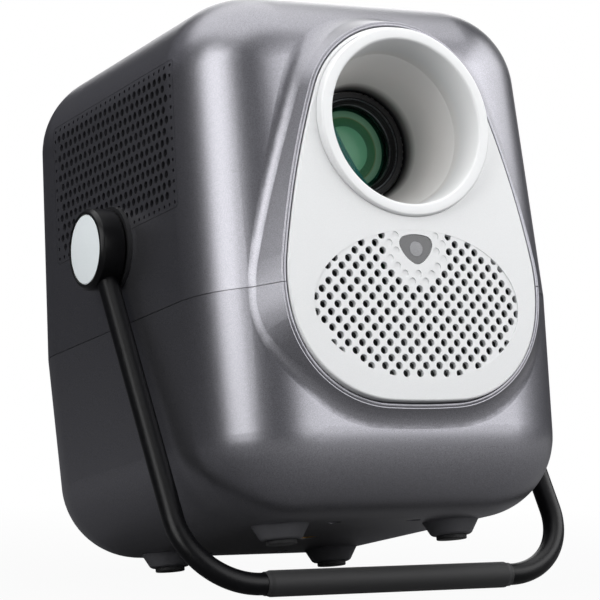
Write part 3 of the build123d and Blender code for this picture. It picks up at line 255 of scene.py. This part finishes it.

# %% [markdown]
# ## Tones that follow the lens
# The funnel is one white moulding; its deep cone is painted darker, grey and then black towards the throat,
# as painted shade where the light falls off inside it. Behind the front glass the next elements show as
# nested rings, each with its own coating tint, and a teal crescent along one side is a painted reflection of
# the mouth. Both follow the drawing: Object coordinates are put upright again, and then depth is y and
# distance from the lens axis is a length.

# %% Funnel shaded by depth
# Painted shade: the white cone darkens to grey and then black towards the throat.
FUNNEL_SHADE_TONES = [(0.0, "#e9eaea"), (0.26, "#d6d7d7"), (0.33, "#d6d5d3"), (0.60, "#dddbd8"), (0.84, "#d8d6d3"),
                (0.92, "#6a6968"), (0.97, "#101011")]
collar_painted_shade = finish("white_abs_moulded_painted_throat_shade", 0.4, None, (0.34, 0.40), 0.006)
tree = collar_painted_shade.node_tree
drawn = add(tree, "Mapping", {"Vector": add(tree, "TexCoord").outputs["Object"],
                              "Location": UPRIGHT.translation, "Rotation": UPRIGHT.to_euler()})
axes = add(tree, "SeparateXYZ", {"Vector": drawn.outputs["Vector"]})
depth = add(tree, "MapRange", {"Value": axes.outputs["Y"], "From Min": MOUTH_Y / 1000,
                               "From Max": THROAT_Y / 1000})
shade = add(tree, "ValToRGB", {"Fac": depth.outputs["Result"]}, FUNNEL_SHADE_TONES)
coloured_by(collar_painted_shade, shade.outputs["Color"])
print("funnel tones from mouth to throat:", len(FUNNEL_SHADE_TONES))

# %% [markdown]
# The tints are a colour ramp over the distance from the lens axis, from the centre to 20 mm. The teal
# crescent is a painted reflection of the mouth; its edge is a straight line across the lens, 0.7 mm wide, so
# it is a product with that line's direction.

# %% Nested tints of the lens
RAMP_REACH = 20.0
# Painted reflection: a teal crescent on one side of the stack stands for the mouth mirrored in the glass.
PAINTED_REFLECTION_TEAL, REFLECTION_CRESCENT_EDGE = "#1f6468", (0.7, 1.4)
NESTED_TINTS = [(0.0, "#7aa893"), (0.54, "#6c9883"), (0.56, "#3a604d"), (0.725, "#44664e"), (0.74, "#76765a"),
                (0.765, "#7c8f84"), (0.875, "#708679"), (0.89, "#0f2c27"), (1.0, "#0a1c18")]
tints_and_painted_reflection = finish("optical_glass_stack_tints_and_painted_reflection", 20.0, None, (0.55, 0.60), 0.0,
                    {"Specular IOR Level": 0.0})
tree = tints_and_painted_reflection.node_tree
drawn = add(tree, "Mapping", {"Vector": add(tree, "TexCoord").outputs["Object"],
                              "Location": UPRIGHT.translation - mm(0, 0, LENS_Z),
                              "Rotation": UPRIGHT.to_euler()})
flat = add(tree, "VectorMath", {0: drawn.outputs["Vector"], 1: (1, 0, 1)}, operation="MULTIPLY")
reach = add(tree, "VectorMath", {0: flat.outputs["Vector"]}, operation="LENGTH")
ring = add(tree, "MapRange", {"Value": reach.outputs["Value"], "From Max": RAMP_REACH / 1000})
tints = add(tree, "ValToRGB", {"Fac": ring.outputs["Result"]}, NESTED_TINTS)
across = add(tree, "VectorMath", {0: flat.outputs["Vector"], 1: (1, 0, 0.53)}, operation="DOT_PRODUCT")
reflection_side = add(tree, "MapRange", {"Value": across.outputs["Value"], "From Min": REFLECTION_CRESCENT_EDGE[0] / 1000,
                              "From Max": REFLECTION_CRESCENT_EDGE[1] / 1000})
whole = add(tree, "Mix", {0: reflection_side.outputs["Result"], 6: screen(PAINTED_REFLECTION_TEAL), 7: tints.outputs["Color"]},
            data_type="RGBA")
coloured_by(tints_and_painted_reflection, whole.outputs[2])
print("tints from the axis outward:", len(NESTED_TINTS))

# %% [markdown]
# ## Finishes on the CAD solids
# The two shells, the pierced panel and the vents are exact in the CAD already, true holes included, so only
# their material slot changes. Each inner solid gets the finish of the part it is.

# %% Assign finishes
WORN_BY = {
    paint: "upper_shell lower_shell side_vent_left side_vent_right rear_vent tray_bezel",
    panel_white: "front_panel",
    smoked: "sensor_window remote_window",
    black_plastic: "port_plate mains_inlet disc_tray fan_frame fan_rotor speaker_box hub_washers "
                   "button_switch",
    barrel_black: "lens_holder",
    grey_plastic: "optical_housing image_frame optics_bracket pickup_sled",
    sheet_steel: "chassis drive_case sockets",
    aluminium: "heat_sink reflector spindle_motor",
    rod_steel: "guide_rods pivot_pins focus_motor",
    screw_steel: "case_screws",
    brass: "tripod_insert",
    board_green: "main_board power_board led_board sensor_module",
    paper_cone: "speaker_units",
    acetal: "focus_ring focus_pinion",
    dark_panel: "image_panel",
    clear_glass: "field_lens condenser rear_glass pickup_lens sensor_lens",
    hub_black: "disc_hub",
}
for material, names in WORN_BY.items():
    for name in names.split():
        for place in cad[name].material_slots:
            place.material = material
print("finished", sum(len(names.split()) for names in WORN_BY.values()), "CAD solids")

# %% [markdown]
# ## Making a piece
# Every remodelled piece has its doubles merged and its normals turned outward, and most have their sharp rims
# rounded. Each ends the same way: the mesh tipped into the leaning pose, and the object set to ride on its
# body, in place of its CAD solid where it has one.

# %% Piece helpers
def tidy(bm):
    """Merges doubles and turns every face outward."""
    bmesh.ops.remove_doubles(bm, verts=bm.verts[:], dist=0.000002)
    bmesh.ops.recalc_face_normals(bm, faces=bm.faces[:])


def soften(bm, width, segments=3, over=25):
    """Rounds every rim sharper than over degrees by width millimetres."""
    rims = [e for e in bm.edges if len(e.link_faces) == 2 and e.calc_face_angle(0) > radians(over)]
    bmesh.ops.bevel(bm, geom=rims, offset=width / 1000, affect="EDGES", segments=segments, profile=0.5,
                    material=-1, clamp_overlap=True)


def finished(bm, name, material, body, stands_for=(), pose=SEAT):
    """The bmesh as a piece that rides on its body."""
    bmesh.ops.transform(bm, matrix=pose, verts=bm.verts[:])
    mesh = bpy.data.meshes.new(name)
    bm.to_mesh(mesh)
    bm.free()
    mesh.materials.append(material)
    mesh.shade_smooth()
    mesh.set_sharp_from_angle(angle=radians(32))
    piece = bpy.data.objects.new(name, mesh)
    bpy.context.scene.collection.objects.link(piece)
    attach(piece, body)
    if stands_for:
        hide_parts(*stands_for)
    print(name, len(mesh.polygons), "faces")


def turned(corners, steps=96):
    """Spins (radius, along) corners round the Y axis into one closed ring or disc."""
    bm = bmesh.new()
    verts = [bm.verts.new(mm(radius, along, 0)) for radius, along in corners]
    edges = [bm.edges.new((a, b)) for a, b in zip(verts, verts[1:])]
    if corners[0][0] > 0.001:
        edges.append(bm.edges.new((verts[-1], verts[0])))
    bmesh.ops.spin(bm, geom=verts + edges, cent=(0, 0, 0), axis=(0, 1, 0), angle=2 * pi, steps=steps,
                   use_merge=True)
    tidy(bm)
    return bm


def set_at(bm, x, z):
    """The turned piece on its own axis, x and z in millimetres."""
    bmesh.ops.translate(bm, vec=mm(x, 0, z), verts=bm.verts[:])
    return bm


# %% [markdown]
# ## Lens collar
# The collar is a white moulded funnel round the lens: a broad rounded rim, a light outer mouth, a small
# step, and a cone down to the barrel. It could be drilled from a block, but a spun profile gives the step
# and the even wall at once, and a bevel rounds the rims as the mould does.

# %% Collar
FINE = 128    # steps of a spin that the camera sees from close by
bm = turned([(37.0, MOUTH_Y), (41.0, MOUTH_Y), (41.7, -117.2), (41.7, -108.6), (38.3, -108.6), (36.1, -101.0),
             (26.7, THROAT_Y), (24.8, THROAT_Y), (33.6, -100.2), (34.2, -101.0), (36.4, -117.4)], FINE)
soften(bm, 0.35)
finished(set_at(bm, 0, LENS_Z), "lens_funnel", collar_painted_shade, "projector_body", ["lens_collar"])

# %% [markdown]
# ## Lens
# The barrel is flat black with small stepped baffles, and two thin rings lie on its steps. Real rings are
# pressed in; here each is a turned sliver that stands a few tenths proud, enough to catch a line of light.

# %% Barrel and thin rings
bm = turned([(20.9, -72.2), (21.4, -71.8), (21.6, -71.2), (22.0, -70.6), (22.0, -48.5), (15.9, -48.5),
             (15.9, -61.6), (19.3, -62.2), (19.3, -69.0), (19.7, -69.2), (19.7, -70.2), (20.2, -70.5),
             (20.2, -71.2), (20.6, -71.5), (20.6, -71.9)], FINE)
soften(bm, 0.12, 2)
finished(set_at(bm, 0, LENS_Z), "stepped_barrel", barrel_black, "barrel", ["lens_barrel"])

bm = turned([(21.2, -72.0), (21.3, -72.35), (21.6, -72.35), (21.8, -71.0)], FINE)
finished(set_at(bm, 0, LENS_Z), "outer_thin_ring", bright_ring, "barrel",
         ["lens_ring_outer"])

bm = turned([(19.3, -69.05), (19.3, -69.4), (19.68, -69.7), (19.68, -69.2)], FINE)
finished(set_at(bm, 0, LENS_Z), "inner_thin_ring", bright_ring, "barrel",
         ["lens_ring_inner"])

# %% [markdown]
# The glass sits behind the rings. The front element is a thin clear dome, an arc of a ball spun round the
# axis; the dished stack behind it stands for the other elements and carries the tints and the painted
# reflection.

# %% Glass
GLASS_R, GLASS_RIM_Y, BULGE, GLASS_THICK, ARC_STEPS = 19.2, -67.8, 3.4, 1.4, 12
ball = (GLASS_R ** 2 + BULGE ** 2) / (2 * BULGE)
radii = [GLASS_R * step / ARC_STEPS for step in range(ARC_STEPS + 1)]
sag = [(radius, GLASS_RIM_Y - BULGE + ball - (ball ** 2 - radius ** 2) ** 0.5) for radius in radii]
bm = turned(sag + [(radius, along + GLASS_THICK) for radius, along in reversed(sag)])
finished(set_at(bm, 0, LENS_Z), "front_element", coated_glass, "barrel", ["front_glass"])

bm = turned([(0, -62.9), (6.0, -63.1), (12.0, -63.7), (GLASS_R, -65.2), (GLASS_R, -64.2), (12.0, -62.6),
             (0, -61.8)])
finished(set_at(bm, 0, LENS_Z), "inner_elements", tints_and_painted_reflection, "barrel")

# %% [markdown]
# ## Sensor eye and keys
# The small rounded-triangle window at the top of the grille hides a sensor, whose round eye shows as a
# lighter disc. The power key and the eject key at the back are small turned buttons with a dished face,
# which a fingertip finds. All are short turned pieces, so one spun profile each is enough.

# %% Sensor eye and keys
bm = turned([(0, -116.44), (2.2, -116.46), (2.7, -116.36), (3.1, -116.40), (3.3, -116.25), (3.3, -116.0),
             (0, -116.0)], 48)
finished(set_at(bm, 0, 110.2), "sensor_eye", eye_grey, "projector_body")

bm = turned([(0, 101.85), (5.5, 101.85), (5.5, 106.8), (5.1, 107.25), (4.7, 107.34), (3.2, 107.2),
             (0, 107.1)], 64)
finished(set_at(bm, 4.0, 80.0), "power_key_dished", hub_black, "power_key", ["power_button"])

bm = turned([(0, 99.8), (3.0, 99.8), (3.0, 106.65), (2.6, 107.0), (1.9, 106.96), (0, 106.9)], 48)
finished(set_at(bm, 48.0, 45.5), "eject_key_dished", hub_black, "eject_key", ["eject_button"])

# %% [markdown]
# ## Bail
# The bail is one steel tube bent into a wide U. It starts as a circle of vertices that is extruded along
# each leg and spun through each bend, which is how a tube bender works. It swings on two hubs that are
# turned, and a rubber sleeve covers its foot.

# %% Bail tube
LEG_X, LEG_TOP, TUBE_R, BEND_R, REACH, ROUND = 95.2, -10.8, 4.8, 33.0, 171.6, 40
SWING = SEAT @ Matrix.Translation(mm(0, HUB_Y, HUB_Z)) @ Matrix.Rotation(-BAIL_LEAN, 4, "X")


def run_on(bm, rim, step):
    """Extrudes the open end along a straight, and gives the new end."""
    new = bmesh.ops.extrude_edge_only(bm, edges=rim)["geom"]
    bmesh.ops.translate(bm, vec=step, verts=[g for g in new if isinstance(g, bmesh.types.BMVert)])
    return [g for g in new if isinstance(g, bmesh.types.BMEdge) and len(g.link_faces) == 1]


def bend_on(bm, rim, centre, angle):
    """Spins the open end round a bend, and gives the new end."""
    verts = list({v for e in rim for v in e.verts})
    bent = bmesh.ops.spin(bm, geom=verts + rim, cent=centre, axis=(0, 1, 0), angle=angle, steps=28)
    return [g for g in bent["geom_last"] if isinstance(g, bmesh.types.BMEdge)]


leg = REACH - BEND_R + LEG_TOP
bm = bmesh.new()
circle = bmesh.ops.create_circle(bm, segments=ROUND, radius=TUBE_R / 1000)["verts"]
bmesh.ops.translate(bm, vec=mm(LEG_X, 0, LEG_TOP), verts=circle)
start = bm.edges[:]
rim = run_on(bm, start, mm(0, 0, -leg))
rim = bend_on(bm, rim, mm(LEG_X - BEND_R, 0, BEND_R - REACH), pi / 2)
rim = run_on(bm, rim, mm(2 * (BEND_R - LEG_X), 0, 0))
rim = bend_on(bm, rim, mm(BEND_R - LEG_X, 0, BEND_R - REACH), pi / 2)
rim = run_on(bm, rim, mm(0, 0, leg))
bmesh.ops.holes_fill(bm, edges=start + rim, sides=ROUND)
tidy(bm)
finished(bm, "bail_bent_tube", enamel, "bail", ["bail_tube"], SWING)

# %% [markdown]
# The grip is a moulded sleeve, a little thicker than the tube, that narrows to a thin collar at each end.

# %% Grip sleeve
half = [(4.8, 61.2), (5.15, 61.2), (5.2, 59.9), (5.7, 58.4)]
bm = turned([(r, -x) for r, x in half] + [(r, x) for r, x in reversed(half)], 64)
soften(bm, 0.25, 3, 8)
ALONG_X = Matrix.Rotation(-pi / 2, 4, "Z")
finished(bm, "grip_moulded_sleeve", rubber, "bail", ["grip_sleeve"],
         SWING @ Matrix.Translation(mm(0, 0, -REACH)) @ ALONG_X)

# %% [markdown]
# Each hub is a black turned cup with a rounded shoulder; the pale cap lies in a shallow seat on its face.
# The right-hand pair is made once and mirrored, with the normals worked out again after the mirror.

# %% Hubs and caps
def both_hubs(bm):
    """The turned piece on the left hub, and its mirror image on the right one."""
    bmesh.ops.transform(bm, matrix=Matrix.Translation(mm(0, HUB_Y, HUB_Z)) @ ALONG_X, verts=bm.verts[:])
    bmesh.ops.mirror(bm, geom=bm.verts[:] + bm.edges[:] + bm.faces[:], axis="X", merge_dist=-1)
    bmesh.ops.recalc_face_normals(bm, faces=bm.faces[:])
    return bm


bm = turned([(0, 89.9), (17.4, 89.9), (18.3, 90.8), (18.3, 100.5), (17.0, 102.1), (16.4, 102.3),
             (15.75, 102.3), (15.75, 100.7), (0, 100.7)])
soften(bm, 0.3, 3, 18)
finished(both_hubs(bm), "hub_turned_cups", hub_black, "bail", ["hub_cups"])

bm = turned([(0, 100.75), (15.6, 100.75), (15.6, 101.7), (15.2, 102.05), (0, 102.12)])
soften(bm, 0.2, 3, 15)
finished(both_hubs(bm), "hub_pale_caps", cap_lacquer, "bail", ["hub_caps"])

# %% [markdown]
# ## Feet
# Four short tapered cups with rubber pads. One foot is turned and then set at the four corners; its top
# runs into the bottom wall, which curves away under it.

# %% Feet
UPWARD = Matrix.Rotation(pi / 2, 4, "X")
CORNERS = [(x, y) for x in (-43.0, 43.0) for y in (-55.3, 55.3)]


def at_corners(make):
    """One bmesh with the foot piece at each corner of the underside."""
    together = bmesh.new()
    for x, y in CORNERS:
        bm = make()
        bmesh.ops.transform(bm, matrix=Matrix.Translation(mm(x, y, 0)) @ UPWARD, verts=bm.verts[:])
        part = bpy.data.meshes.new("foot_part")
        bm.to_mesh(part)
        bm.free()
        together.from_mesh(part)
        bpy.data.meshes.remove(part)
    return together


def foot_cup():
    """A tapered cup, open below for its pad."""
    bm = turned([(0, 2.0), (13.7, 2.0), (9.3, -5.7), (8.2, -6.4), (6.9, -6.4), (6.9, -5.3), (0, -5.3)], 64)
    soften(bm, 0.3)
    return bm


def foot_pad():
    """The rubber disc in the cup, 1.9 mm proud of it."""
    bm = turned([(0, -5.25), (6.8, -5.25), (6.8, -8.0), (6.5, -8.3), (0, -8.3)], 64)
    soften(bm, 0.12, 2)
    return bm


finished(at_corners(foot_cup), "feet_tapered_cups", foot_grey, "projector_body",
         ["foot_cups"])
finished(at_corners(foot_pad), "feet_rubber_pads", rubber, "projector_body", ["foot_pads"])

# %% [markdown]
# ## Stage
# A floor that keeps the soft shadow, a white background, and big soft lamps as in a product studio. To the
# camera the floor is nearly the white of the paper; in real light it is a dark grey, so that the underside
# of the case stays as dark as in the picture, and a painted glow, seen only in reflections, makes the floor
# in front of the object lighter.

# %% Floor
FLOOR_R = 9.0
bm = bmesh.new()
bmesh.ops.create_circle(bm, cap_ends=True, segments=96, radius=FLOOR_R)
mesh = bpy.data.meshes.new("floor")
bm.to_mesh(mesh)
bm.free()
floor = bpy.data.objects.new("floor", mesh)
bpy.context.scene.collection.objects.link(floor)
paper = bpy.data.materials.new("white_paper_floor")
paper.use_nodes = True
tree = paper.node_tree
shader = tree.nodes["Principled BSDF"]
shader.inputs["Base Color"].default_value = screen("#58585a")
shader.inputs["Roughness"].default_value = 0.9
shader.inputs["Specular IOR Level"].default_value = 0.1
glow = add(tree, "Emission", {"Color": (1, 1, 1, 1), "Strength": 1.0})
path = add(tree, "LightPath")
reach = add(tree, "VectorMath", {0: add(tree, "TexCoord").outputs["Object"]}, operation="LENGTH")
near = add(tree, "MapRange", {"Value": reach.outputs["Value"], "From Min": 0.10, "From Max": 0.60,
                              "To Min": 0.95})
# Painted light: for mirrored rays the floor ahead of the object glows, up to half white.
ahead = add(tree, "VectorMath", {0: add(tree, "TexCoord").outputs["Object"], 1: (0.4, -0.9, 0.0)},
            operation="DOT_PRODUCT")
painted_glow_ahead = add(tree, "MapRange", {"Value": ahead.outputs["Value"], "From Min": 0.02, "From Max": 0.32,
                              "To Min": 0.01, "To Max": 0.50})
direct = add(tree, "Math", {0: path.outputs["Is Camera Ray"], 1: near.outputs["Result"]},
             operation="MULTIPLY")
mirrored = add(tree, "Math", {0: path.outputs["Is Glossy Ray"], 1: painted_glow_ahead.outputs["Result"]},
               operation="MULTIPLY")
share = add(tree, "Math", {0: direct.outputs["Value"], 1: mirrored.outputs["Value"]}, operation="MAXIMUM")
mix = add(tree, "MixShader", {0: share.outputs["Value"], 1: shader.outputs["BSDF"],
                              2: glow.outputs["Emission"]})
tree.links.new(mix.outputs["Shader"], tree.nodes["Material Output"].inputs["Surface"])
mesh.materials.append(paper)
print("floor radius", FLOOR_R, "m")

# %% [markdown]
# The world shows the camera plain white. Shiny surfaces see a patch of the white wall behind the object, a
# broad pale window in front of it, a faint glow at the back left and a dim room between them, as in a real
# studio; the paint shows them as soft bands. Everything else gets a soft grey light.

# %% World
# Each patch is a direction, and the tones from 90 degrees beside it (0) to its middle (1).
PATCHES = [((0.5426, 0.8044, 0.2419), [(0.0, "#000000"), (0.958, "#000000"), (0.988, "#ffffff")]),
           ((0.47, -0.74, 0.48), [(0.0, "#2c2d32"), (0.66, "#55565d"), (0.92, "#f0f0f3")]),
           ((-0.45, 0.62, 0.64), [(0.0, "#000000"), (0.82, "#1a1b1f"), (0.98, "#8b8b92")])]
world = bpy.data.worlds.new("studio")
bpy.context.scene.world = world
world.use_nodes = True
tree = world.node_tree
tree.nodes.clear()
white = add(tree, "Background", {"Color": (1, 1, 1, 1), "Strength": 1.0})
soft = add(tree, "Background", {"Color": screen("#eef0f6"), "Strength": 0.30})
way = add(tree, "TexCoord")
mirrored = None
for toward, stops in PATCHES:
    facing = add(tree, "VectorMath", {0: way.outputs["Generated"], 1: toward}, operation="DOT_PRODUCT")
    patch = add(tree, "ValToRGB", {"Fac": facing.outputs["Value"]}, stops).outputs["Color"]
    if mirrored:
        patch = add(tree, "Mix", {0: 1.0, 6: mirrored, 7: patch}, data_type="RGBA",
                    blend_type="LIGHTEN").outputs[2]
    mirrored = patch
room = add(tree, "Background", {"Color": mirrored, "Strength": 1.0})
path = add(tree, "LightPath")
seen = add(tree, "Math", {0: path.outputs["Is Camera Ray"], 1: path.outputs["Is Transmission Ray"]},
           operation="MAXIMUM")
shiny = add(tree, "MixShader", {0: path.outputs["Is Glossy Ray"], 1: soft.outputs["Background"],
                                2: room.outputs["Background"]})
whole = add(tree, "MixShader", {0: seen.outputs["Value"], 1: shiny.outputs["Shader"],
                                2: white.outputs["Background"]})
add(tree, "OutputWorld", {"Surface": whole.outputs["Shader"]})
print("patches that the paint mirrors:", len(PATCHES))

# %% [markdown]
# Five soft lamps stand round the object. Each is placed by two angles and a distance, as a photographer
# would say it, so one that reflects in the wrong place is simply walked round.

# %% Lamps
MIDDLE = Vector((0, 0, 0.13))


def softbox(name, azimuth, height, distance, size, watts):
    """A soft area lamp round the middle: azimuth from the back towards the right, and height angle."""
    lamp = bpy.data.lights.new(name, "AREA")
    lamp.shape = "RECTANGLE"
    lamp.size, lamp.size_y = size
    lamp.energy = watts
    swing, rise = radians(azimuth), radians(height)
    aim = Vector((sin(swing) * cos(rise), cos(swing) * cos(rise), sin(rise)))
    holder = bpy.data.objects.new(name, lamp)
    facing_in = aim.to_track_quat("Z", "Y").to_matrix().to_4x4()
    holder.matrix_world = Matrix.Translation(MIDDLE + distance * aim) @ facing_in
    bpy.context.scene.collection.objects.link(holder)


softbox("left_strip", -108, 22, 1.5, (0.8, 1.2), 14)
softbox("right_softbox", 108, 30, 1.6, (1.5, 0.9), 12)
softbox("front_softbox", 158, 21, 1.6, (1.6, 1.0), 11)
softbox("overhead_softbox", -12, 80, 1.5, (2.1, 1.9), 29)
softbox("back_softbox", 26, 28, 1.7, (0.9, 0.7), 3)
print("lamps:", [lamp.name for lamp in bpy.data.lights])

bpy.context.scene.view_settings.view_transform = "Standard"
